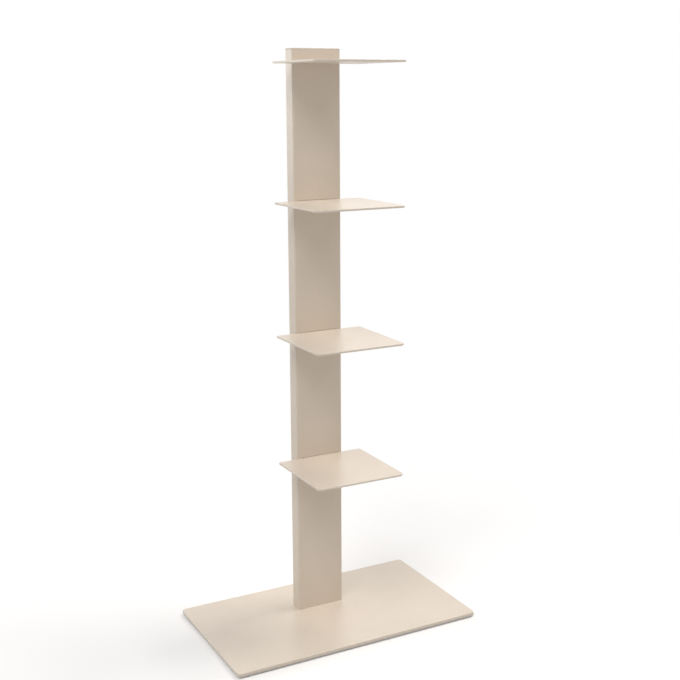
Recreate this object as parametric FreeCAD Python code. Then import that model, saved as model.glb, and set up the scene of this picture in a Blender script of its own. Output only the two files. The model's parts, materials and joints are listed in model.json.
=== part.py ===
import FreeCAD, Part
import math
import os

# Spine bookshelf: four flat steel shelf plates plug into one slim slotted column,
# which is screwed from below to a heavy base plate.  Stacks of magazines or books
# lie flat on the plates, hide them, and seem to float one above the other.
#
# Units are millimetres.  X runs along the long side of the base plate, -Y points to
# the front, where the plates stick out, and +Z points up.  The origin is on the
# floor, under the middle of the base plate.

# ---------------------------------------------------------------- driving dimensions
# base plate
base_length = 430.0
base_depth = 244.0
base_thickness = 6.0
base_corner_radius = 6.0
base_edge_bevel = 0.6

# glide pads under the base plate
pad_diameter = 30.0
pad_thickness = 3.0
pad_inset = 24.0

# column: one rectangular steel tube
column_width = 82.0
column_depth = 25.0
column_wall = 2.0
column_corner_radius = 2.5
column_front_setback = 147.0

# shelf plates
shelf_count = 4
lowest_shelf_rise = 267.5
shelf_pitch = 210.0
shelf_width = 150.0
shelf_reach = 145.0
shelf_thickness = 3.0
shelf_front_radius = 8.0
shelf_rear_radius = 3.0
shelf_edge_bevel = 0.4

# tongue at the back of each shelf plate, and the slots that it plugs into
tongue_width = 60.0
tongue_nose_chamfer = 4.0
tongue_end_gap = 0.5
tongue_relief_radius = 1.5
slot_side_play = 0.4
slot_height_play = 0.4
slot_corner_radius = 0.5

# foot block, welded into the lower end of the tube
foot_block_height = 18.0
foot_block_play = 0.25
foot_block_corner_radius = 1.5
foot_block_lead_in = 1.0

# countersunk screws that hold the column on the base plate
screw_count = 3
screw_spacing = 26.0
screw_diameter = 8.0
screw_head_diameter = 15.2
screw_head_rim = 0.6
screw_length = 20.0
screw_tip_bevel = 0.8
screw_socket_across_flats = 5.0
screw_socket_depth = 2.6
screw_hole_play = 0.5
screw_thread_play = 0.05
screw_head_sink = 0.3
screw_seat_play = 0.05

# moulded plug in the upper end of the tube
plug_lid_thickness = 2.0
plug_lid_rounding = 1.0
plug_skirt_depth = 15.0
plug_skirt_wall = 1.6
plug_skirt_play = 1.0
plug_skirt_draft = 0.2
plug_tongue_clearance = 3.0
plug_fin_count = 3
plug_fin_thickness = 1.0
plug_fin_spacing = 5.0
plug_fin_play = 0.1

# ------------------------------------------------------------------- derived places
base_bottom = pad_thickness
base_top = base_bottom + base_thickness

column_front = -base_depth / 2 + column_front_setback
column_back = column_front + column_depth
column_middle = column_front + column_depth / 2
column_inner_width = column_width - 2 * column_wall
column_inner_depth = column_depth - 2 * column_wall
column_inner_radius = max(column_corner_radius - column_wall, 0.5)

shelf_levels = [base_top + lowest_shelf_rise + i * shelf_pitch for i in range(shelf_count)]
column_top = shelf_levels[-1] + plug_tongue_clearance + plug_skirt_depth

screw_places = [(i - (screw_count - 1) / 2) * screw_spacing for i in range(screw_count)]
screw_head_cone = (screw_head_diameter - screw_diameter) / 2
screw_head_face = base_bottom + screw_head_sink

overshoot = 1.0


# ------------------------------------------------------------------------- helpers
def rounded_wire(corners, height):
    """Closed wire at one height through (x, y, radius) corners, each corner an arc."""
    points = [FreeCAD.Vector(x, y, height) for x, y, _ in corners]
    count = len(points)
    arcs = []
    for i, corner in enumerate(points):
        towards_last = (points[i - 1] - corner).normalize()
        towards_next = (points[(i + 1) % count] - corner).normalize()
        half_angle = towards_last.getAngle(towards_next) / 2
        radius = corners[i][2]
        setback = radius / math.tan(half_angle)
        bisector = (towards_last + towards_next).normalize()
        centre = corner + bisector * (radius / math.sin(half_angle))
        start = corner + towards_last * setback
        end = corner + towards_next * setback
        arcs.append((start, centre - bisector * radius, end))
    edges = []
    for i, (start, middle, end) in enumerate(arcs):
        if start.distanceToPoint(end) > 1e-6:
            edges.append(Part.Arc(start, middle, end).toShape())
        edges.append(Part.LineSegment(end, arcs[(i + 1) % count][0]).toShape())
    return Part.Wire(edges)


def slab(corners, bottom, thickness):
    """Flat piece with a rounded outline."""
    face = Part.Face(rounded_wire(corners, bottom))
    return face.extrude(FreeCAD.Vector(0, 0, thickness))


def rectangle(width, depth, radius, middle_y=0.0):
    """Corners of a rectangle that is centred on X = 0 and on middle_y."""
    half_width = width / 2
    half_depth = depth / 2
    signs = [(-1, -1), (1, -1), (1, 1), (-1, 1)]
    return [(sx * half_width, middle_y + sy * half_depth, radius) for sx, sy in signs]


def edges_at_height(shape, height):
    """Edges that lie in one horizontal plane."""
    found = []
    for edge in shape.Edges:
        box = edge.BoundBox
        if abs(box.ZMin - height) < 1e-4 and abs(box.ZMax - height) < 1e-4:
            found.append(edge)
    return found


def cylinder(radius, height, x, y, z):
    return Part.makeCylinder(radius, height, FreeCAD.Vector(x, y, z))


# ---------------------------------------------------------------------- base plate
def make_base_plate():
    """Heavy plate with broken edges and a row of holes countersunk from below."""
    plate = slab(rectangle(base_length, base_depth, base_corner_radius), base_bottom, base_thickness)
    rims = edges_at_height(plate, base_top) + edges_at_height(plate, base_bottom)
    plate = plate.makeChamfer(base_edge_bevel, rims)
    for x in screw_places:
        plate = plate.cut(make_screw_hole(x))
    return plate


def make_screw_hole(x):
    """Clearance hole with a countersink that lets the screw head sink in."""
    hole_radius = screw_diameter / 2 + screw_hole_play
    rim_radius = screw_head_diameter / 2 + screw_seat_play
    rim_top = screw_head_face + screw_head_rim
    through = cylinder(hole_radius, base_thickness + 2 * overshoot, x, column_middle, base_bottom - overshoot)
    mouth = cylinder(rim_radius, rim_top + overshoot - base_bottom, x, column_middle, base_bottom - overshoot)
    seat = Part.makeCone(
        rim_radius,
        hole_radius,
        rim_radius - hole_radius,
        FreeCAD.Vector(x, column_middle, rim_top),
    )
    return through.fuse([mouth, seat])


def make_pad(x, y):
    """Round glide pad, stuck under the base plate."""
    return cylinder(pad_diameter / 2, pad_thickness, x, y, 0.0)


# -------------------------------------------------------------------------- column
def make_column_tube():
    """Rectangular tube with one slot through the front and back wall at each level."""
    length = column_top - base_top
    outside = slab(
        rectangle(column_width, column_depth, column_corner_radius, column_middle), base_top, length
    )
    inside = slab(
        rectangle(column_inner_width, column_inner_depth, column_inner_radius, column_middle),
        base_top - overshoot,
        length + 2 * overshoot,
    )
    slots = []
    for level in shelf_levels:
        plate_bottom = level - shelf_thickness
        # loaded, a plate bears on the front slot's lower edge and the back slot's upper edge
        slots.append(make_slot(column_front, plate_bottom))
        slots.append(make_slot(column_back - column_wall, plate_bottom - slot_height_play))
    return outside.cut([inside] + slots)


def make_slot(wall_front, bottom):
    """Cutter for one slot in the front or back wall of the tube."""
    width = tongue_width + 2 * slot_side_play
    height = shelf_thickness + slot_height_play
    corner = FreeCAD.Vector(-width / 2, wall_front - overshoot, bottom)
    cutter = Part.makeBox(width, column_wall + 2 * overshoot, height, corner)
    along_wall = [edge for edge in cutter.Edges if edge.BoundBox.YLength > column_wall]
    return cutter.makeFillet(slot_corner_radius, along_wall)


def make_foot_block():
    """Block inside the lower end of the tube, bevelled to enter it and tapped for the base screws."""
    block = slab(
        rectangle(
            column_inner_width - 2 * foot_block_play,
            column_inner_depth - 2 * foot_block_play,
            foot_block_corner_radius,
            column_middle,
        ),
        base_top,
        foot_block_height,
    )
    block = block.makeChamfer(foot_block_lead_in, edges_at_height(block, base_top + foot_block_height))
    thread_radius = screw_diameter / 2 + screw_thread_play
    bore_length = foot_block_height + 2 * overshoot
    for x in screw_places:
        block = block.cut(cylinder(thread_radius, bore_length, x, column_middle, base_top - overshoot))
    return block


def make_screw(x):
    """Countersunk screw, head down, with a hexagon socket."""
    shank_radius = screw_diameter / 2
    head_radius = screw_head_diameter / 2
    face = screw_head_face
    tip = face + screw_length
    outline = [
        (0.0, face),
        (head_radius, face),
        (head_radius, face + screw_head_rim),
        (shank_radius, face + screw_head_rim + screw_head_cone),
        (shank_radius, tip - screw_tip_bevel),
        (shank_radius - screw_tip_bevel, tip),
        (0.0, tip),
    ]
    points = [FreeCAD.Vector(x + r, column_middle, z) for r, z in outline]
    profile = Part.Face(Part.makePolygon(points + points[:1]))
    axis_point = FreeCAD.Vector(x, column_middle, 0)
    body = profile.revolve(axis_point, FreeCAD.Vector(0, 0, 1), 360)
    return body.cut(make_hex_socket(x))


def make_hex_socket(x):
    """Hexagonal recess in a screw head."""
    across_corners = screw_socket_across_flats / math.cos(math.radians(30))
    start = screw_head_face - overshoot
    corners = []
    for i in range(6):
        angle = math.radians(60 * i)
        offset_x = across_corners / 2 * math.cos(angle)
        offset_y = across_corners / 2 * math.sin(angle)
        corners.append(FreeCAD.Vector(x + offset_x, column_middle + offset_y, start))
    hexagon = Part.Face(Part.makePolygon(corners + corners[:1]))
    return hexagon.extrude(FreeCAD.Vector(0, 0, screw_socket_depth + overshoot))


def make_top_plug():
    """Moulded end plug: a lid flush with the tube, and a drafted, hollow skirt with grip fins."""
    lid = slab(
        rectangle(column_width, column_depth, column_corner_radius, column_middle),
        column_top,
        plug_lid_thickness,
    )
    lid_top = column_top + plug_lid_thickness
    lid = lid.makeFillet(plug_lid_rounding, edges_at_height(lid, lid_top))
    skirt = make_plug_block(plug_skirt_play, -plug_skirt_draft)
    hollow = make_plug_block(plug_skirt_play + plug_skirt_wall, plug_skirt_draft)
    skirt_bottom = column_top - plug_skirt_depth
    fins = [make_plug_fin(skirt_bottom + (i + 0.5) * plug_fin_spacing) for i in range(plug_fin_count)]
    return lid.fuse([skirt] + fins).cut(hollow).removeSplitter()


def make_plug_block(inset, flare):
    """Block under the lid, set in from the tube's walls, whose sides lean out by the flare lower down."""
    loops = []
    for level, growth in ((column_top - plug_skirt_depth, flare), (column_top, 0.0)):
        width = column_inner_width - 2 * inset + 2 * growth
        depth = column_inner_depth - 2 * inset + 2 * growth
        corners = rectangle(width, depth, 0.0, column_middle)
        loops.append([FreeCAD.Vector(x, y, level) for x, y, _ in corners])
    lower, upper = loops
    sides = [[lower[i - 1], lower[i], upper[i], upper[i - 1]] for i in range(len(lower))]
    faces = [Part.Face(Part.makePolygon(loop + loop[:1])) for loop in [lower[::-1], upper] + sides]
    return Part.Solid(Part.Shell(faces))


def make_plug_fin(bottom):
    """Thin collar around the skirt that wedges in the tube."""
    return slab(
        rectangle(
            column_inner_width - 2 * plug_fin_play,
            column_inner_depth - 2 * plug_fin_play,
            column_inner_radius,
            column_middle,
        ),
        bottom,
        plug_fin_thickness,
    )


# ------------------------------------------------------------------- shelf plates
def make_shelf_plate(level):
    """Flat plate whose tongue passes through the front and back wall of the column."""
    side = shelf_width / 2
    tongue_side = tongue_width / 2
    front = column_front - shelf_reach
    tongue_end = column_back - tongue_end_gap
    nose = tongue_nose_chamfer
    sharp = 0.0
    corners = [
        (-side, front, shelf_front_radius),
        (side, front, shelf_front_radius),
        (side, column_front, shelf_rear_radius),
        (tongue_side, column_front, sharp),
        (tongue_side, tongue_end - nose, sharp),
        (tongue_side - nose, tongue_end, sharp),
        (-tongue_side + nose, tongue_end, sharp),
        (-tongue_side, tongue_end - nose, sharp),
        (-tongue_side, column_front, sharp),
        (-side, column_front, shelf_rear_radius),
    ]
    bottom = level - shelf_thickness
    plate = slab(corners, bottom, shelf_thickness)
    # round reliefs beside the tongue let its square shoulders seat flat on the column
    for sign in (-1, 1):
        relief_x = sign * (tongue_side + tongue_relief_radius)
        plate = plate.cut(cylinder(tongue_relief_radius, shelf_thickness, relief_x, column_front, bottom))
    rims = edges_at_height(plate, level) + edges_at_height(plate, bottom)
    return plate.makeChamfer(shelf_edge_bevel, rims)


# -------------------------------------------------------------------------- output
def make_parts():
    parts = {
        "base_plate": make_base_plate(),
        "column_tube": make_column_tube(),
        "column_foot_block": make_foot_block(),
        "column_screws": Part.makeCompound([make_screw(x) for x in screw_places]),
        "column_top_plug": make_top_plug(),
    }
    pad_x = base_length / 2 - pad_inset
    pad_y = base_depth / 2 - pad_inset
    for side, sign_x in (("left", -1), ("right", 1)):
        for end, sign_y in (("front", -1), ("back", 1)):
            parts[f"pad_{end}_{side}"] = make_pad(sign_x * pad_x, sign_y * pad_y)
    for i, level in enumerate(shelf_levels):
        parts[f"shelf_plate_{i + 1}"] = make_shelf_plate(level)
    return parts


os.makedirs("parts", exist_ok=True)
for name, shape in make_parts().items():
    shape.exportStep(f"parts/{name}.step")
    print(name, "valid" if shape.isValid() else "NOT VALID", round(shape.Volume), len(shape.Solids))
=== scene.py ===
import json
import math

import bpy
from mathutils import Euler, Matrix, Vector
from mathutils.geometry import tessellate_polygon

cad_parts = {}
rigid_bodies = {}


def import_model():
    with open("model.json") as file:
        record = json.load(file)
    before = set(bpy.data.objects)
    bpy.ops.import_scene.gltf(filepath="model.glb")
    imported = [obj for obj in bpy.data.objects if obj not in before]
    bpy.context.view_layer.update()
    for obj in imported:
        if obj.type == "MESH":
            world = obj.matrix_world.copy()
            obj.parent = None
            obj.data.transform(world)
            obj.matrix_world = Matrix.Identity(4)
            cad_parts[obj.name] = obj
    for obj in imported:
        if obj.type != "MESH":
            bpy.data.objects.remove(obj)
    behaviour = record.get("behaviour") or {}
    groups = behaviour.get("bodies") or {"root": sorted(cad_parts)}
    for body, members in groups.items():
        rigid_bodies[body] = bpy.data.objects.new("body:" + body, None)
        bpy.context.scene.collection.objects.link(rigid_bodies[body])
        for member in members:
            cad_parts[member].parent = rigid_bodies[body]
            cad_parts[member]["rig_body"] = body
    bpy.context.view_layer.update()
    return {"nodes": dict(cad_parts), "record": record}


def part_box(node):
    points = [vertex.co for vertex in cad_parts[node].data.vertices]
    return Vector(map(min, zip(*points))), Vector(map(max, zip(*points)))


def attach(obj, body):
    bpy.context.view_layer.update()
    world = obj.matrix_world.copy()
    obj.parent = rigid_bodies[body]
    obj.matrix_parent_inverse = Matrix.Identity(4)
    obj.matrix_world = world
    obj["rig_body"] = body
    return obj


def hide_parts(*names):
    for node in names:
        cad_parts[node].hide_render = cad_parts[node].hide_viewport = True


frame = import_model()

# Spine bookshelf: a slim slotted column on a heavy base plate, with four plates plugged into it.
# Everything is in metres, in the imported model's own frame: +X right, -Y to the front, +Z up.
# The coated steel pieces, the end plug, the pads and the screws are built here again with their
# soft edges and finer forms; their outlines, levels and thicknesses come from the frame.

MM = 0.001

# ------------------------------------------------------------------------------ dimensions
# radii in plan
base_corner_radius = 6.0 * MM
shelf_front_radius = 8.0 * MM
shelf_rear_radius = 3.0 * MM
tube_corner_radius = 2.5 * MM
tube_inner_radius = 0.5 * MM

# rounding that the coat leaves on the edges
base_edge_rounding = 1.2 * MM
shelf_edge_rounding = 0.5 * MM
tube_end_rounding = 0.3 * MM
slot_edge_rounding = 0.25 * MM
hole_edge_rounding = 0.2 * MM

# tongue of a shelf plate, and the slots that it passes through
tongue_width = 60.0 * MM
tongue_nose_chamfer = 4.0 * MM
tongue_nose_rounding = 1.0 * MM
relief_width = 3.0 * MM
relief_depth = 2.2 * MM
relief_lip_radius = 0.65 * MM
slot_side_play = 0.4 * MM
slot_height_play = 0.4 * MM
slot_corner_radius = 0.5 * MM
tube_wall = 2.0 * MM

# countersunk holes through the base plate
screw_spacing = 26.0 * MM
hole_radius = 4.5 * MM
countersink_radius = 7.65 * MM
countersink_rim = 0.9 * MM

# M8 screws with a countersunk head and a hexagon socket
thread_radius = 4.0 * MM
thread_pitch = 1.25 * MM
thread_depth = 0.77 * MM
thread_flank = 0.44 * MM
thread_crest = 0.16 * MM
thread_run_out = 0.2 * MM
screw_head_rim = 0.6 * MM
screw_tip_length = 0.45 * MM
screw_rounding = 0.15 * MM
socket_across_flats = 5.0 * MM
socket_depth = 2.6 * MM
socket_corner_radius = 0.25 * MM
socket_lead_in = 0.35 * MM

# moulded plug in the upper end of the tube
lid_thickness = 2.0 * MM
lid_edge_rounding = 1.0 * MM
plug_play = 1.0 * MM
plug_wall = 1.6 * MM
plug_draft = 0.2 * MM
plug_rounding = 0.2 * MM
plug_corner_radius = 0.8 * MM
fin_count = 3
lowest_fin = 3.0 * MM
fin_spacing = 5.0 * MM
fin_root = 1.1 * MM
fin_tip = 0.5 * MM
fin_play = 0.1 * MM

# glide pads
pad_lower_rounding = 0.7 * MM
pad_upper_rounding = 0.2 * MM

# steps in which a rounded corner is made
corner_steps = 6
base_corner_steps = 9
slot_corner_steps = 4
plug_corner_steps = 3
hexagon_corner_steps = 2
circle_quarter_steps = 10
section_steps = 4

# below these, two points are one, a path runs straight on, and two directions are the same
same_point = 1e-7
straight_turn = 1e-6
same_direction = 1e-4

# what the frame gives, and the three screws' places along X
tube_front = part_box("column_tube")[0].y
shelf_names = sorted(name for name in frame["nodes"] if name.startswith("shelf_plate_"))
pad_names = sorted(name for name in frame["nodes"] if name.startswith("pad_"))
screw_places = {"screw_left": -screw_spacing, "screw_middle": 0.0, "screw_right": screw_spacing}


# ---------------------------------------------------------------------- outlines, sections
def soft_path(corners, closed=True, steps=corner_steps):
    """Points and right-hand normals along a path of (u, v, radius) corners. Radius 0 is sharp."""
    places = [Vector((u, v)) for u, v, _ in corners]
    last = len(corners) - 1
    path = []
    for i, place in enumerate(places):
        before = place - places[i - 1]
        after = places[(i + 1) % len(places)] - place
        if not closed and i == 0:
            before = after
        if not closed and i == last:
            after = before
        turn = math.atan2(before.cross(after), before.dot(after))
        radius = corners[i][2]
        normal = Vector((before.y, -before.x)).normalized()
        if radius == 0.0 or abs(turn) < straight_turn:
            path.append((place, normal))
            continue
        side = math.copysign(1.0, turn)
        setback = radius * math.tan(abs(turn) / 2)
        centre = place - before.normalized() * setback - normal * side * radius
        for step in range(steps + 1):
            tilt = Matrix.Rotation(turn * step / steps, 2)
            spoke = tilt @ normal
            path.append((centre + spoke * side * radius, spoke))
    distinct = path[:1]
    for (previous, _), (point, direction) in zip(path, path[1:]):
        if (point - previous).length > same_point:
            distinct.append((point, direction))
    return distinct


def outline(corners, steps=corner_steps):
    """Closed plan outline, cut back by one point where the last repeats the first."""
    path = soft_path(corners, steps=steps)
    if (path[-1][0] - path[0][0]).length < same_point:
        path.pop()
    return path


def rectangle(low_u, low_v, high_u, high_v, radius):
    """Corners of a rectangle, anticlockwise."""
    places = ((low_u, low_v), (high_u, low_v), (high_u, high_v), (low_u, high_v))
    return [(u, v, radius) for u, v in places]


def inner_rectangle(low, high, radius, inset=0.0):
    """Corners of a rectangle that lies inside a box by the same distance on all four sides."""
    return rectangle(low.x + inset, low.y + inset, high.x - inset, high.y - inset, radius)


def circle(centre_u, centre_v, radius):
    """Outline of a circle: a square whose corner arcs meet."""
    low_u, low_v = centre_u - radius, centre_v - radius
    corners = rectangle(low_u, low_v, centre_u + radius, centre_v + radius, radius)
    return outline(corners, circle_quarter_steps)


def hexagon(centre_u, centre_v, across_flats, radius):
    """Outline of a regular hexagon with rounded corners."""
    across_corners = across_flats / math.cos(math.pi / 6)
    corners = []
    for i in range(6):
        angle = i * math.pi / 3
        u = centre_u + across_corners / 2 * math.cos(angle)
        v = centre_v + across_corners / 2 * math.sin(angle)
        corners.append((u, v, radius))
    return outline(corners, hexagon_corner_steps)


def rim_section(low, high, rounding):
    """Section of an outer edge, from the underside round to the top: (offset, height, radius)."""
    return [(-rounding, low, 0.0), (0.0, low, rounding), (0.0, high, rounding), (-rounding, high, 0.0)]


def hole_section(low, high, rounding):
    """Section of a straight hole's wall, from the upper face down to the lower one."""
    return [(rounding, high, 0.0), (0.0, high, rounding), (0.0, low, rounding), (rounding, low, 0.0)]


def long_step(section):
    """Number of the step that crosses the straight middle of a two-cornered section."""
    heights = [point.y for point, _ in soft_path(section, closed=False, steps=section_steps)]
    spans = [abs(b - a) for a, b in zip(heights, heights[1:])]
    return spans.index(max(spans))


def flat_segment(plan, facing):
    """Number of the longest outline segment that faces one way."""
    best = None
    for i, (point, normal) in enumerate(plan):
        following, next_normal = plan[(i + 1) % len(plan)]
        if (normal - facing).length < same_direction and (next_normal - facing).length < same_direction:
            length = (following - point).length
            if best is None or length > best[0]:
                best = (length, i)
    return best[1]


# --------------------------------------------------------------------------------- surfaces
UPRIGHT = Matrix.Identity(4)
AUTOMATIC = Vector((0.0, 0.0, 0.0))


class Skin:
    """Closed surface made of rings and flat faces.

    Each point has its exact normal, or AUTOMATIC where Blender is to work it out. It also says
    how much of it is an edge, and how far it lies inside the tube, both from 0 to 1."""

    def __init__(self):
        self.points = []
        self.normals = []
        self.edge = []
        self.inside = []
        self.faces = []

    def add_point(self, point, normal=AUTOMATIC, edge=0.0, inside=0.0):
        """Adds a point and returns its number."""
        self.points.append(point)
        self.normals.append(normal)
        self.edge.append(edge)
        self.inside.append(inside)
        return len(self.points) - 1

    def sweep(self, plan, section, place=UPRIGHT, left_open=(), inside=(0.0, 0.0)):
        """Sweeps a section round a plan outline and returns the rings.

        left_open holds (section step, outline segment) pairs whose quads are left out. inside gives
        how far the section's start and its end lie inside the tube."""
        turn = place.to_3x3()
        path = soft_path(section, closed=False, steps=section_steps)
        rings = []
        for step, ((offset, height), tilt) in enumerate(path):
            # sine of twice the tilt: 1 half way round an edge, and 0 on the flats beside it
            edge = abs(2 * tilt.x * tilt.y)
            hidden = inside[0] + (inside[1] - inside[0]) * step / (len(path) - 1)
            ring = []
            for at, out in plan:
                point = place @ Vector((at.x + out.x * offset, at.y + out.y * offset, height))
                normal = turn @ Vector((out.x * tilt.x, out.y * tilt.x, tilt.y))
                ring.append(self.add_point(point, normal, edge, hidden))
            rings.append(ring)
        for step, (low, high) in enumerate(zip(rings, rings[1:])):
            for segment in range(len(plan)):
                following = (segment + 1) % len(plan)
                if (step, segment) not in left_open:
                    self.faces.append([low[segment], low[following], high[following], high[segment]])
        return rings

    def bridge(self, low, high):
        """Quads between two rows of points, without the quad that would close them to a ring."""
        for a, b, c, d in zip(low, low[1:], high[1:], high):
            self.faces.append([a, b, c, d])

    def fill(self, boundary, *holes):
        """Flat face inside a boundary ring, with holes."""
        loops = [boundary, *holes]
        wanted = self.normals[boundary[0]]
        numbers = [i for loop in loops for i in loop]
        triangles = tessellate_polygon([[self.points[i] for i in loop] for loop in loops])
        for triangle in triangles:
            a, b, c = [numbers[k] for k in triangle]
            crossing = (self.points[b] - self.points[a]).cross(self.points[c] - self.points[a])
            self.faces.append([a, b, c] if crossing.dot(wanted) > 0 else [a, c, b])

    def build(self, name, slot, node):
        """Mesh object that takes a CAD node's place and rides on that node's body."""
        mesh = bpy.data.meshes.new(name)
        mesh.from_pydata(self.points, [], self.faces)
        mesh.polygons.foreach_set("use_smooth", [True] * len(mesh.polygons))
        mesh.normals_split_custom_set_from_vertices(self.normals)
        for label, values in (("edge", self.edge), ("inside", self.inside)):
            mesh.attributes.new(label, "FLOAT", "POINT").data.foreach_set("value", values)
        mesh.materials.append(finishes[slot])
        piece = bpy.data.objects.new(name, mesh)
        bpy.context.scene.collection.objects.link(piece)
        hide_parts(node)
        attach(piece, frame["nodes"][node]["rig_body"])


def build_slab(plan, section, name, slot, node):
    """Piece made of one sweep, closed by a flat face below and one above."""
    skin = Skin()
    rings = skin.sweep(plan, section)
    skin.fill(rings[0])
    skin.fill(rings[-1])
    skin.build(name, slot, node)


# --------------------------------------------------------------------------- node helpers
class Nodes:
    """Emptied node tree of a material or world, with short calls that add to it."""

    def __init__(self, owner, output="ShaderNodeOutputMaterial"):
        self.owner = owner
        owner.use_nodes = True
        self.tree = owner.node_tree
        self.tree.nodes.clear()
        self.output = self.add(output)

    def feed(self, socket, value):
        """Gives an input another node's output, or a plain value."""
        if isinstance(value, bpy.types.NodeSocket):
            self.tree.links.new(value, socket)
        else:
            socket.default_value = value

    def add(self, kind, **settings):
        """New node. A setting is one of its inputs, with _ for a blank, or one of its properties."""
        node = self.tree.nodes.new(kind)
        for key, value in settings.items():
            label = key.replace("_", " ")
            if label in node.inputs:
                self.feed(node.inputs[label], value)
            else:
                setattr(node, key, value)
        return node

    def place(self):
        return self.add("ShaderNodeTexCoord").outputs["Object"]

    def attribute(self, name):
        return self.add("ShaderNodeAttribute", attribute_name=name).outputs["Fac"]

    def noise(self, per_metre, detail=2.0, stretch=(1.0, 1.0, 1.0), turn=0.0):
        """Noise of so many features per metre, drawn out along axes that are turned in plan."""
        mapping = self.add("ShaderNodeMapping", vector_type="TEXTURE", Vector=self.place(), Scale=stretch)
        mapping.inputs["Rotation"].default_value = (0.0, 0.0, turn)
        placed = mapping.outputs["Vector"]
        node = self.add("ShaderNodeTexNoise", Vector=placed, Scale=per_metre, Detail=detail)
        return node.outputs["Fac"]

    def spread(self, value, low, high, start=0.3, end=0.7):
        """Maps a value between start and end onto the range from low to high."""
        ends = {"From_Min": start, "From_Max": end, "To_Min": low, "To_Max": high}
        return self.add("ShaderNodeMapRange", Value=value, **ends).outputs["Result"]

    def mask(self, value, start=0.3, end=0.7):
        """0 where a value is below start, 1 where it is above end."""
        return self.spread(value, 0.0, 1.0, start, end)

    def combine(self, operation, first, second):
        node = self.add("ShaderNodeMath", operation=operation)
        self.feed(node.inputs[0], first)
        self.feed(node.inputs[1], second)
        return node.outputs[0]

    def plus(self, first, second):
        return self.combine("ADD", first, second)

    def minus(self, first, second):
        return self.combine("SUBTRACT", first, second)

    def times(self, first, second):
        return self.combine("MULTIPLY", first, second)

    def larger(self, first, second):
        return self.combine("MAXIMUM", first, second)

    def mix(self, factor, first, second):
        """Colour between two colours."""
        node = self.add("ShaderNodeMix", data_type="RGBA", Factor=factor)
        colours = [socket for socket in node.inputs if socket.type == "RGBA"]
        for socket, value in zip(colours, (first, second)):
            self.feed(socket, value)
        return next(socket for socket in node.outputs if socket.type == "RGBA")

    def blend(self, factor, first, second):
        """Shader between two shaders."""
        node = self.add("ShaderNodeMixShader")
        for socket, value in zip(node.inputs, (factor, first.outputs[0], second.outputs[0])):
            self.feed(socket, value)
        return node

    def bump(self, height, depth, **before):
        """Bump whose height from 0 to 1 stands for a real depth in metres."""
        node = self.add("ShaderNodeBump", Strength=1.0, Distance=depth, Height=height, **before)
        return node.outputs["Normal"]

    def finish(self, shader):
        """Material or world with this shader as its output."""
        self.feed(self.output.inputs["Surface"], shader.outputs[0])
        return self.owner

    def surface(self, tone, roughness, normal, metallic=0.0):
        """Finished material with one Principled shader."""
        shader = self.add("ShaderNodeBsdfPrincipled", Base_Color=tone, Metallic=metallic)
        self.feed(shader.inputs["Roughness"], roughness)
        self.feed(shader.inputs["Normal"], normal)
        return self.finish(shader)


def linear(red, green, blue):
    """Linear colour of an 8-bit display colour."""
    channels = []
    for value in (red, green, blue):
        share = value / 255
        channels.append(share / 12.92 if share <= 0.04045 else ((share + 0.055) / 1.055) ** 2.4)
    return (*channels, 1.0)


# ------------------------------------------------------------------------------ materials
coat = linear(220, 208, 192)
coat_clouded = linear(225, 212, 197)
edge_wear_and_highlight = linear(232, 224, 212)
# lighter tone on the edges: edge wear, and in part a painted highlight
coat_scuffed = linear(205, 192, 175)
coat_rubbed = linear(201, 189, 173)
steel_in_tube = linear(128, 124, 118)
steel = linear(138, 138, 140)
steel_bright = linear(160, 160, 162)
zinc_blue = linear(186, 190, 198)
zinc_yellow = linear(196, 194, 184)
plastic = linear(212, 202, 187)
plastic_clouded = linear(217, 207, 193)
black_rubber = linear(38, 37, 36)
dusty_rubber = linear(70, 67, 63)


def powder_coat(name, add_wear):
    """Satin powder coat: orange peel, faint clouding, and a glossier coat on the edges that is lighter
    there from edge wear and a painted highlight.

    add_wear changes its colour and roughness by what one kind of piece goes through."""
    nodes = Nodes(bpy.data.materials.new(name))
    edge = nodes.attribute("edge")
    # painted highlight on the rounded edges, together with their wear: the edge mask lightens the coat
    # there
    edge_wear_and_highlight_mask = nodes.times(edge, 0.5)
    glossier = nodes.times(edge, 0.08)
    tone = nodes.mix(nodes.mask(nodes.noise(per_metre=9.0, detail=3.0)), coat, coat_clouded)
    tone = nodes.mix(edge_wear_and_highlight_mask, tone, edge_wear_and_highlight)
    satin = nodes.spread(nodes.noise(per_metre=60.0, detail=3.0), low=0.30, high=0.38)
    roughness = nodes.minus(satin, glossier)
    tone, roughness = add_wear(nodes, tone, roughness)
    peel = nodes.bump(nodes.noise(per_metre=420.0, detail=0.5), depth=0.20 * MM)
    fine_peel = nodes.bump(nodes.noise(per_metre=1700.0, detail=1.0), depth=0.04 * MM, Normal=peel)
    return nodes.surface(tone, roughness, fine_peel)


def scuff(nodes, tone, roughness, turns):
    """Hairline scuffs that run several ways in plan, in patches: darker and duller than the coat."""
    lines = 0.0
    for turn in turns:
        drawn_out = nodes.noise(per_metre=900.0, detail=1.0, stretch=(35.0, 1.0, 1.0), turn=turn)
        lines = nodes.larger(nodes.mask(drawn_out, start=0.64, end=0.70), lines)
    patches = nodes.mask(nodes.noise(per_metre=13.0), start=0.48, end=0.66)
    scuffs = nodes.times(lines, patches)
    darker = nodes.times(scuffs, 0.25)
    duller = nodes.times(scuffs, 0.10)
    return nodes.mix(darker, tone, coat_scuffed), nodes.plus(roughness, duller)


def base_wear(nodes, tone, roughness):
    """A few hairlines where things are pushed along the base."""
    return scuff(nodes, tone, roughness, turns=(0.15, 1.2))


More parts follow.
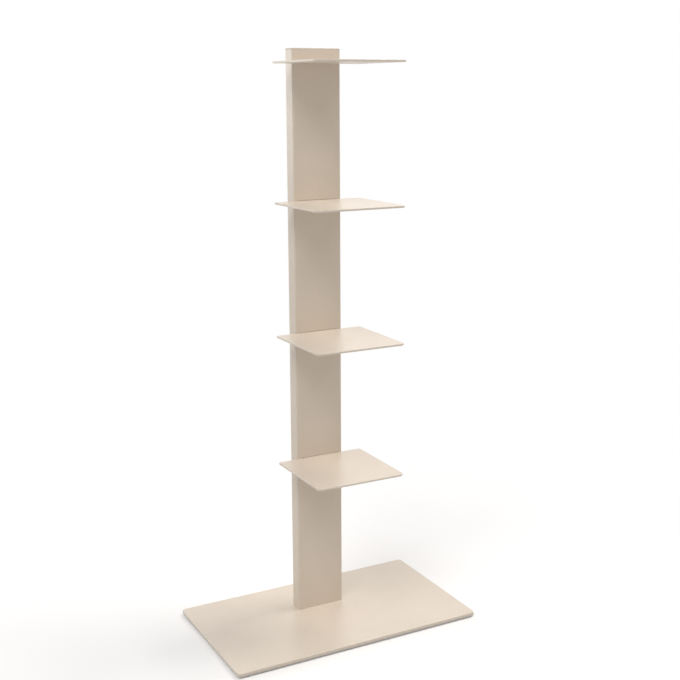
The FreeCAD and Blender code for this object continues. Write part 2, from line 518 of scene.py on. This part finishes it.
def shelf_wear(nodes, tone, roughness):
    """Hairlines from magazines that slide on and off, and a tongue rubbed by its slots."""
    tone, roughness = scuff(nodes, tone, roughness, turns=(1.35, 1.6, 0.5))
    depth = nodes.add("ShaderNodeSeparateXYZ", Vector=nodes.place()).outputs["Y"]
    in_slot = nodes.mask(depth, start=tube_front, end=tube_front + tube_wall)
    along_tongue = nodes.noise(per_metre=1100.0, detail=3.0, stretch=(1.0, 25.0, 1.0))
    streaks = nodes.mask(along_tongue, start=0.45, end=0.75)
    rubbed = nodes.times(in_slot, streaks)
    darker = nodes.times(rubbed, 0.6)
    glossier = nodes.times(rubbed, 0.10)
    return nodes.mix(darker, tone, coat_rubbed), nodes.minus(roughness, glossier)


def column_wear(nodes, tone, roughness):
    """Inside the tube only a thin, dry overspray lies on the grey steel."""
    overspray = nodes.noise(per_metre=1100.0, detail=3.0)
    speckle = nodes.spread(overspray, low=0.35, high=1.0, start=0.40, end=0.62)
    bare = nodes.times(nodes.attribute("inside"), speckle)
    duller = nodes.times(bare, 0.25)
    return nodes.mix(bare, tone, steel_in_tube), nodes.plus(roughness, duller)


def moulded_plastic():
    """Matt plastic with the fine grain of a spark-eroded mould."""
    nodes = Nodes(bpy.data.materials.new("moulded_plastic"))
    tone = nodes.mix(nodes.mask(nodes.noise(per_metre=40.0)), plastic, plastic_clouded)
    roughness = nodes.spread(nodes.noise(per_metre=900.0), low=0.5, high=0.6)
    grain = nodes.bump(nodes.noise(per_metre=2500.0, detail=3.0), depth=0.02 * MM)
    return nodes.surface(tone, roughness, grain)


def rubber():
    """Black rubber with a fine matt grain and a trace of dust."""
    nodes = Nodes(bpy.data.materials.new("rubber"))
    dust = nodes.mask(nodes.noise(per_metre=120.0, detail=4.0), start=0.5, end=0.75)
    roughness = nodes.spread(nodes.noise(per_metre=400.0), low=0.75, high=0.9)
    grain = nodes.bump(nodes.noise(per_metre=1800.0, detail=3.0), depth=0.03 * MM)
    return nodes.surface(nodes.mix(dust, black_rubber, dusty_rubber), roughness, grain)


def zinc_plate():
    """Bright zinc on the screws, with faint blue and yellow clouding."""
    nodes = Nodes(bpy.data.materials.new("zinc_plate"))
    tone = nodes.mix(nodes.mask(nodes.noise(per_metre=350.0)), zinc_blue, zinc_yellow)
    roughness = nodes.spread(nodes.noise(per_metre=900.0, detail=3.0), low=0.24, high=0.38)
    grain = nodes.bump(nodes.noise(per_metre=2000.0), depth=0.006 * MM)
    return nodes.surface(tone, roughness, grain, metallic=1.0)


def milled_steel():
    """Bare steel with fine parallel tool marks."""
    nodes = Nodes(bpy.data.materials.new("milled_steel"))
    marks = nodes.noise(per_metre=2200.0, stretch=(25.0, 1.0, 25.0))
    tone = nodes.mix(nodes.mask(marks), steel, steel_bright)
    roughness = nodes.spread(nodes.noise(per_metre=150.0, detail=3.0), low=0.32, high=0.45)
    return nodes.surface(tone, roughness, nodes.bump(marks, depth=0.01 * MM), metallic=1.0)


finishes = {
    "base_coat": powder_coat("base_coat", base_wear),
    "column_coat": powder_coat("column_coat", column_wear),
    "shelf_coat": powder_coat("shelf_coat", shelf_wear),
    "bare_steel": milled_steel(),
    "zinc_steel": zinc_plate(),
    "plug_plastic": moulded_plastic(),
    "pad_rubber": rubber(),
}
slot_of = {part["node"]: part["material_slot"] for part in frame["record"]["subparts"]}
for name, node in frame["nodes"].items():
    for material_slot in node.material_slots:
        material_slot.material = finishes[slot_of[name]]


# --------------------------------------------------------------------------- coated pieces
def build_base_plate():
    """Base plate with soft edges and three holes countersunk from below."""
    low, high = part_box("base_plate")
    tube_low, tube_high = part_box("column_tube")
    middle_y = (tube_low.y + tube_high.y) / 2
    plan = outline(inner_rectangle(low, high, base_corner_radius), base_corner_steps)
    skin = Skin()
    rim = skin.sweep(plan, rim_section(low.z, high.z, base_edge_rounding))
    flare = countersink_radius - hole_radius
    cone_low = low.z + countersink_rim
    section = [
        (hole_edge_rounding, high.z, 0.0),
        (0.0, high.z, hole_edge_rounding),
        (0.0, cone_low + flare, hole_edge_rounding),
        (flare, cone_low, hole_edge_rounding),
        (flare, low.z, hole_edge_rounding),
        (flare + hole_edge_rounding, low.z, 0.0),
    ]
    holes = [skin.sweep(circle(x, middle_y, hole_radius), section) for x in screw_places.values()]
    skin.fill(rim[-1], *[hole[0] for hole in holes])
    skin.fill(rim[0], *[hole[-1] for hole in holes])
    skin.build("coated_base_plate", "base_coat", "base_plate")


def build_column_tube():
    """Rectangular tube with soft-lipped slots through its front and back walls."""
    low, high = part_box("column_tube")
    outside = outline(inner_rectangle(low, high, tube_corner_radius))
    inside = outline(inner_rectangle(low, high, tube_inner_radius, inset=tube_wall))
    directions = {"front": Vector((0.0, -1.0)), "back": Vector((0.0, 1.0))}
    skin = Skin()
    walls = {facing: [] for facing in directions}
    ends = []
    for plan, section, hidden in (
        (outside, rim_section(low.z, high.z, tube_end_rounding), 0.0),
        (inside, hole_section(low.z, high.z, tube_end_rounding), 1.0),
    ):
        step = long_step(section)
        flats = {facing: flat_segment(plan, direction) for facing, direction in directions.items()}
        left_open = {(step, segment) for segment in flats.values()}
        rings = skin.sweep(plan, section, left_open=left_open, inside=(hidden, hidden))
        for facing, segment in flats.items():
            following = (segment + 1) % len(plan)
            lower, upper = rings[step], rings[step + 1]
            walls[facing].append([lower[segment], lower[following], upper[following], upper[segment]])
        ends.append((rings[0], rings[-1]))
    (outer_bottom, outer_top), (inner_top, inner_bottom) = ends
    skin.fill(outer_top, inner_top)
    skin.fill(outer_bottom, inner_bottom)

    half_slot = tongue_width / 2 + slot_side_play
    lip = hole_section(-tube_wall, 0.0, slot_edge_rounding)
    # each stands a slot's outline up in the outer face of its wall, with the height axis pointing out
    facings = {
        "front": Matrix(((1, 0, 0, 0), (0, 0, -1, low.y), (0, 1, 0, 0), (0, 0, 0, 1))),
        "back": Matrix(((-1, 0, 0, 0), (0, 0, 1, high.y), (0, 1, 0, 0), (0, 0, 0, 1))),
    }
    for facing, place in facings.items():
        slots = []
        for name in shelf_names:
            plate_low, plate_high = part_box(name)
            bottom = plate_low.z - (slot_height_play if facing == "back" else 0.0)
            top = bottom + (plate_high.z - plate_low.z) + slot_height_play
            corners = rectangle(-half_slot, bottom, half_slot, top, slot_corner_radius)
            plan = outline(corners, slot_corner_steps)
            slots.append(skin.sweep(plan, lip, place, inside=(0.0, 1.0)))
        outer_wall, inner_wall = walls[facing]
        skin.fill(outer_wall, *[slot[0] for slot in slots])
        skin.fill(inner_wall, *[slot[-1] for slot in slots])
    skin.build("coated_column_tube", "column_coat", "column_tube")


def build_shelf_plate(name):
    """Flat plate with a tongue, relief notches beside it and soft edges all round."""
    low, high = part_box(name)
    tongue = tongue_width / 2
    nose = tongue_nose_chamfer
    relief = relief_width / 2
    notch = tube_front - relief_depth
    right = [
        (high.x, tube_front, shelf_rear_radius),
        (tongue + relief_width, tube_front, relief_lip_radius),
        (tongue + relief_width, notch, relief),
        (tongue, notch, relief),
        (tongue, high.y - nose, tongue_nose_rounding),
        (tongue - nose, high.y, tongue_nose_rounding),
    ]
    left = [(-x, y, radius) for x, y, radius in reversed(right)]
    front = [(low.x, low.y, shelf_front_radius), (high.x, low.y, shelf_front_radius)]
    plan = outline(front + right + left)
    section = rim_section(low.z, high.z, shelf_edge_rounding)
    build_slab(plan, section, f"coated_{name}", "shelf_coat", name)


# ------------------------------------------------------------------- plug, pads and screws
def build_top_plug():
    """Moulded plug: a lid with a soft rim, and a drafted, hollow skirt with gripping fins."""
    low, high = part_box("column_top_plug")
    lid_low = high.z - lid_thickness
    lid_section = [
        (-plug_rounding, lid_low, 0.0),
        (0.0, lid_low, plug_rounding),
        (0.0, high.z, lid_edge_rounding),
        (-lid_edge_rounding, high.z, 0.0),
    ]
    skirt_inset = tube_wall + plug_play
    fin_reach = plug_play - fin_play
    skirt_section = [(-plug_draft - plug_rounding, low.z, 0.0), (-plug_draft, low.z, plug_rounding)]
    for i in range(fin_count):
        middle = lowest_fin + i * fin_spacing
        wall = plug_draft * (middle / (lid_low - low.z) - 1)
        fin = [(wall, -fin_root), (fin_reach, -fin_tip), (fin_reach, fin_tip), (wall, fin_root)]
        for reach, width in fin:
            skirt_section.append((reach, low.z + middle + width / 2, 0.0))
    skirt_section.append((0.0, lid_low, 0.0))
    hollow_section = [
        (-plug_rounding, lid_low, 0.0),
        (0.0, lid_low, plug_rounding),
        (plug_draft, low.z, plug_rounding),
        (plug_draft + plug_rounding, low.z, 0.0),
    ]
    lid_plan = outline(inner_rectangle(low, high, tube_corner_radius))
    skirt_plan, hollow_plan = [
        outline(inner_rectangle(low, high, plug_corner_radius, inset), plug_corner_steps)
        for inset in (skirt_inset, skirt_inset + plug_wall)
    ]
    skin = Skin()
    lid = skin.sweep(lid_plan, lid_section)
    skirt = skin.sweep(skirt_plan, skirt_section)
    hollow = skin.sweep(hollow_plan, hollow_section)
    skin.fill(lid[-1])
    skin.fill(lid[0], skirt[-1])
    skin.fill(skirt[0], hollow[-1])
    skin.fill(hollow[0])
    skin.build("moulded_top_plug", "plug_plastic", "column_top_plug")


def build_pad(name):
    """Round rubber pad, stuck on above and rounded below."""
    low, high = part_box(name)
    middle = (low + high) / 2
    section = [
        (-pad_lower_rounding, low.z, 0.0),
        (0.0, low.z, pad_lower_rounding),
        (0.0, high.z, pad_upper_rounding),
        (-pad_upper_rounding, high.z, 0.0),
    ]
    plan = circle(middle.x, middle.y, (high.x - low.x) / 2)
    build_slab(plan, section, f"rubber_{name}", "pad_rubber", name)


def wind_thread(skin, plan, lower, upper):
    """Right-hand thread between two level rings round a plan circle, run out at both of its ends."""
    profile = [
        (thread_depth, 0.0),
        (0.0, thread_flank),
        (0.0, thread_flank + thread_crest),
        (thread_depth, 2 * thread_flank + thread_crest),
    ]
    start = skin.points[lower[0]].z + thread_run_out
    end = skin.points[upper[0]].z - thread_run_out
    turns = int((end - start) / thread_pitch) - 1
    rows = []
    for number in range(turns * len(profile) + 1):
        turn, corner = divmod(number, len(profile))
        cut, rise = profile[corner]
        row = []
        for step, (at, out) in enumerate(plan):
            wound = turn + step / len(plan)
            run_in = cut * min(1.0, wound)
            run_out = thread_depth * max(0.0, min(1.0, wound - turns + 1))
            foot = at - out * max(run_in, run_out)
            row.append(skin.add_point(Vector((foot.x, foot.y, start + thread_pitch * wound + rise))))
        rows.append(row)
    skin.bridge(lower, rows[0])
    for below, above in zip(rows, rows[1:]):
        skin.bridge(below, above)
    skin.bridge(rows[-1], upper)
    # each row goes on in the one a turn above it, and the last gaps are closed at both ends
    per_turn = len(profile)
    next_turn = rows[per_turn:]
    for below, above, next_below, next_above in zip(rows, rows[1:], next_turn, next_turn[1:]):
        skin.faces.append([below[-1], next_below[0], next_above[0], above[-1]])
    first_step = [row[0] for row in rows[: per_turn + 1]]
    last_step = [row[-1] for row in reversed(rows[-per_turn - 1:])]
    skin.faces.append([lower[-1], lower[0], *first_step, rows[0][-1]])
    skin.faces.append([*last_step, rows[-1][0], upper[0], upper[-1]])


def build_screw(name, x):
    """Countersunk screw, head down: a hexagon socket, a coned head and a thread up to its tip."""
    low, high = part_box("column_screws")
    middle_y = (low.y + high.y) / 2
    cone = (high.y - low.y) / 2 - thread_radius
    soft = screw_rounding
    cone_low = low.z + screw_head_rim
    head_section = [
        (cone - soft, low.z, 0.0),
        (cone, low.z, soft),
        (cone, cone_low, soft),
        (0.0, cone_low + cone, soft),
        (0.0, cone_low + cone + 2 * soft, 0.0),
    ]
    tip_section = [
        (-thread_depth, high.z - screw_tip_length, 0.0),
        (-thread_depth, high.z, soft),
        (-thread_depth - soft, high.z, 0.0),
    ]
    socket_section = [
        (-soft, low.z + socket_depth, 0.0),
        (0.0, low.z + socket_depth, soft),
        (0.0, low.z + socket_lead_in, soft),
        (socket_lead_in, low.z, soft),
        (socket_lead_in + soft, low.z, 0.0),
    ]
    plan = circle(x, middle_y, thread_radius)
    skin = Skin()
    head = skin.sweep(plan, head_section)
    socket = skin.sweep(hexagon(x, middle_y, socket_across_flats, socket_corner_radius), socket_section)
    tip = skin.sweep(plan, tip_section)
    wind_thread(skin, plan, head[-1], tip[0])
    skin.fill(head[0], socket[-1])
    skin.fill(socket[0])
    skin.fill(tip[-1])
    skin.build(name, "zinc_steel", "column_screws")


build_base_plate()
build_column_tube()
build_top_plug()
for name in shelf_names:
    build_shelf_plate(name)
for name in pad_names:
    build_pad(name)
for name, x in screw_places.items():
    build_screw(name, x)


# --------------------------------------------------------------------- floor, light, camera
# plain white as it is seen, the soft light from all sides, and the lamps' colours
WHITE = (1.0, 1.0, 1.0, 1.0)
plain_white_strength = 1.0
ambient_strength = 0.40
faintly_warm = (1.0, 0.98, 0.96)
warm = (1.0, 0.97, 0.94)
warmest = (1.0, 0.95, 0.91)

# half the floor's side, its colour where it lights the object and where it is seen, the strength
# that it is lifted by where it is seen, and the radii between which it fades to plain white
floor_reach = 12.0
floor_that_lights = (0.66, 0.66, 0.66, 1.0)
floor_that_is_seen = (0.90, 0.90, 0.90, 1.0)
floor_lift = 0.14
fade_start = 0.28
fade_end = 0.95

# camera, from the middle of the base plate's top, turned to the right of +Y and down
sensor_width_mm = 36.0
lens_mm = 58.65
camera_from_base = Vector((-0.7879, -1.5276, 0.8579))
camera_heading = math.radians(28.03)
camera_pitch = math.radians(12.805)
camera_roll = math.radians(-0.245)


def white_rays(nodes):
    """1 for the rays that see the white studio: camera, glossy and transmission rays."""
    rays = nodes.add("ShaderNodeLightPath").outputs
    seen = nodes.larger(rays["Is Camera Ray"], rays["Is Glossy Ray"])
    return nodes.larger(seen, rays["Is Transmission Ray"])


def make_floor():
    """White studio floor: it keeps the soft shadow near the object and runs out to plain white."""
    reach = floor_reach
    mesh = bpy.data.meshes.new("floor")
    corners = [(-reach, -reach, 0), (reach, -reach, 0), (reach, reach, 0), (-reach, reach, 0)]
    mesh.from_pydata(corners, [], [(0, 1, 2, 3)])
    floor = bpy.data.objects.new("floor", mesh)
    bpy.context.scene.collection.objects.link(floor)
    nodes = Nodes(bpy.data.materials.new("floor"))
    seen = white_rays(nodes)
    colour = nodes.mix(seen, floor_that_lights, floor_that_is_seen)
    paper = nodes.add("ShaderNodeBsdfDiffuse", Color=colour)
    lift = nodes.add("ShaderNodeEmission", Color=WHITE, Strength=nodes.times(seen, floor_lift))
    lit = nodes.add("ShaderNodeAddShader")
    nodes.feed(lit.inputs[0], paper.outputs[0])
    nodes.feed(lit.inputs[1], lift.outputs[0])
    white = nodes.add("ShaderNodeEmission", Color=WHITE, Strength=plain_white_strength)
    distance = nodes.add("ShaderNodeVectorMath", operation="LENGTH", Vector=nodes.place())
    fade = nodes.mask(distance.outputs["Value"], start=fade_start, end=fade_end)
    mesh.materials.append(nodes.finish(nodes.blend(nodes.times(fade, seen), lit, white)))


def make_world():
    """Soft light from all sides, and plain white behind the object and in its gloss."""
    nodes = Nodes(bpy.data.worlds.new("studio"), "ShaderNodeOutputWorld")
    light = nodes.add("ShaderNodeBackground", Color=WHITE, Strength=ambient_strength)
    white = nodes.add("ShaderNodeBackground", Color=WHITE, Strength=plain_white_strength)
    bpy.context.scene.world = nodes.finish(nodes.blend(white_rays(nodes), light, white))


def make_lamp(name, place, aim, size, power, colour):
    """Rectangular lamp that points at the frame's Z axis, at a height of aim."""
    data = bpy.data.lights.new(name, "AREA")
    data.shape = "RECTANGLE"
    data.size, data.size_y = size
    data.energy = power
    data.color = colour
    lamp = bpy.data.objects.new(name, data)
    lamp.location = place
    lamp.rotation_mode = "QUATERNION"
    lamp.rotation_quaternion = (Vector((0.0, 0.0, aim)) - Vector(place)).to_track_quat("-Z", "Y")
    bpy.context.scene.collection.objects.link(lamp)


def make_lamps():
    """Two high main lamps to the left and the right, and two weak ones behind the object."""
    make_lamp("key_left", (-3.0, -2.4, 5.4), aim=0.45, size=(2.7, 2.7), power=145.0, colour=faintly_warm)
    make_lamp("key_right", (3.2, -0.6, 5.3), aim=0.45, size=(2.4, 2.4), power=141.0, colour=warmest)
    make_lamp("back", (1.5, 4.3, 3.1), aim=0.3, size=(3.0, 2.1), power=20.0, colour=warm)
    make_lamp("fill", (-1.6, 4.0, 1.4), aim=0.45, size=(2.6, 1.8), power=32.0, colour=faintly_warm)


def make_camera():
    """Camera on the front left, a little under the top plate's level, looking slightly down."""
    data = bpy.data.cameras.new("camera")
    data.sensor_width = sensor_width_mm
    data.lens = lens_mm
    camera = bpy.data.objects.new("camera", data)
    base_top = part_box("base_plate")[1].z
    camera.location = camera_from_base + Vector((0.0, 0.0, base_top))
    camera.rotation_mode = "QUATERNION"
    aim = Euler((math.pi / 2 - camera_pitch, 0.0, -camera_heading)).to_quaternion()
    camera.rotation_quaternion = aim @ Euler((0.0, 0.0, camera_roll)).to_quaternion()
    bpy.context.scene.collection.objects.link(camera)
    bpy.context.scene.camera = camera


make_floor()
make_world()
make_lamps()
make_camera()
bpy.context.scene.view_settings.view_transform = "Standard"
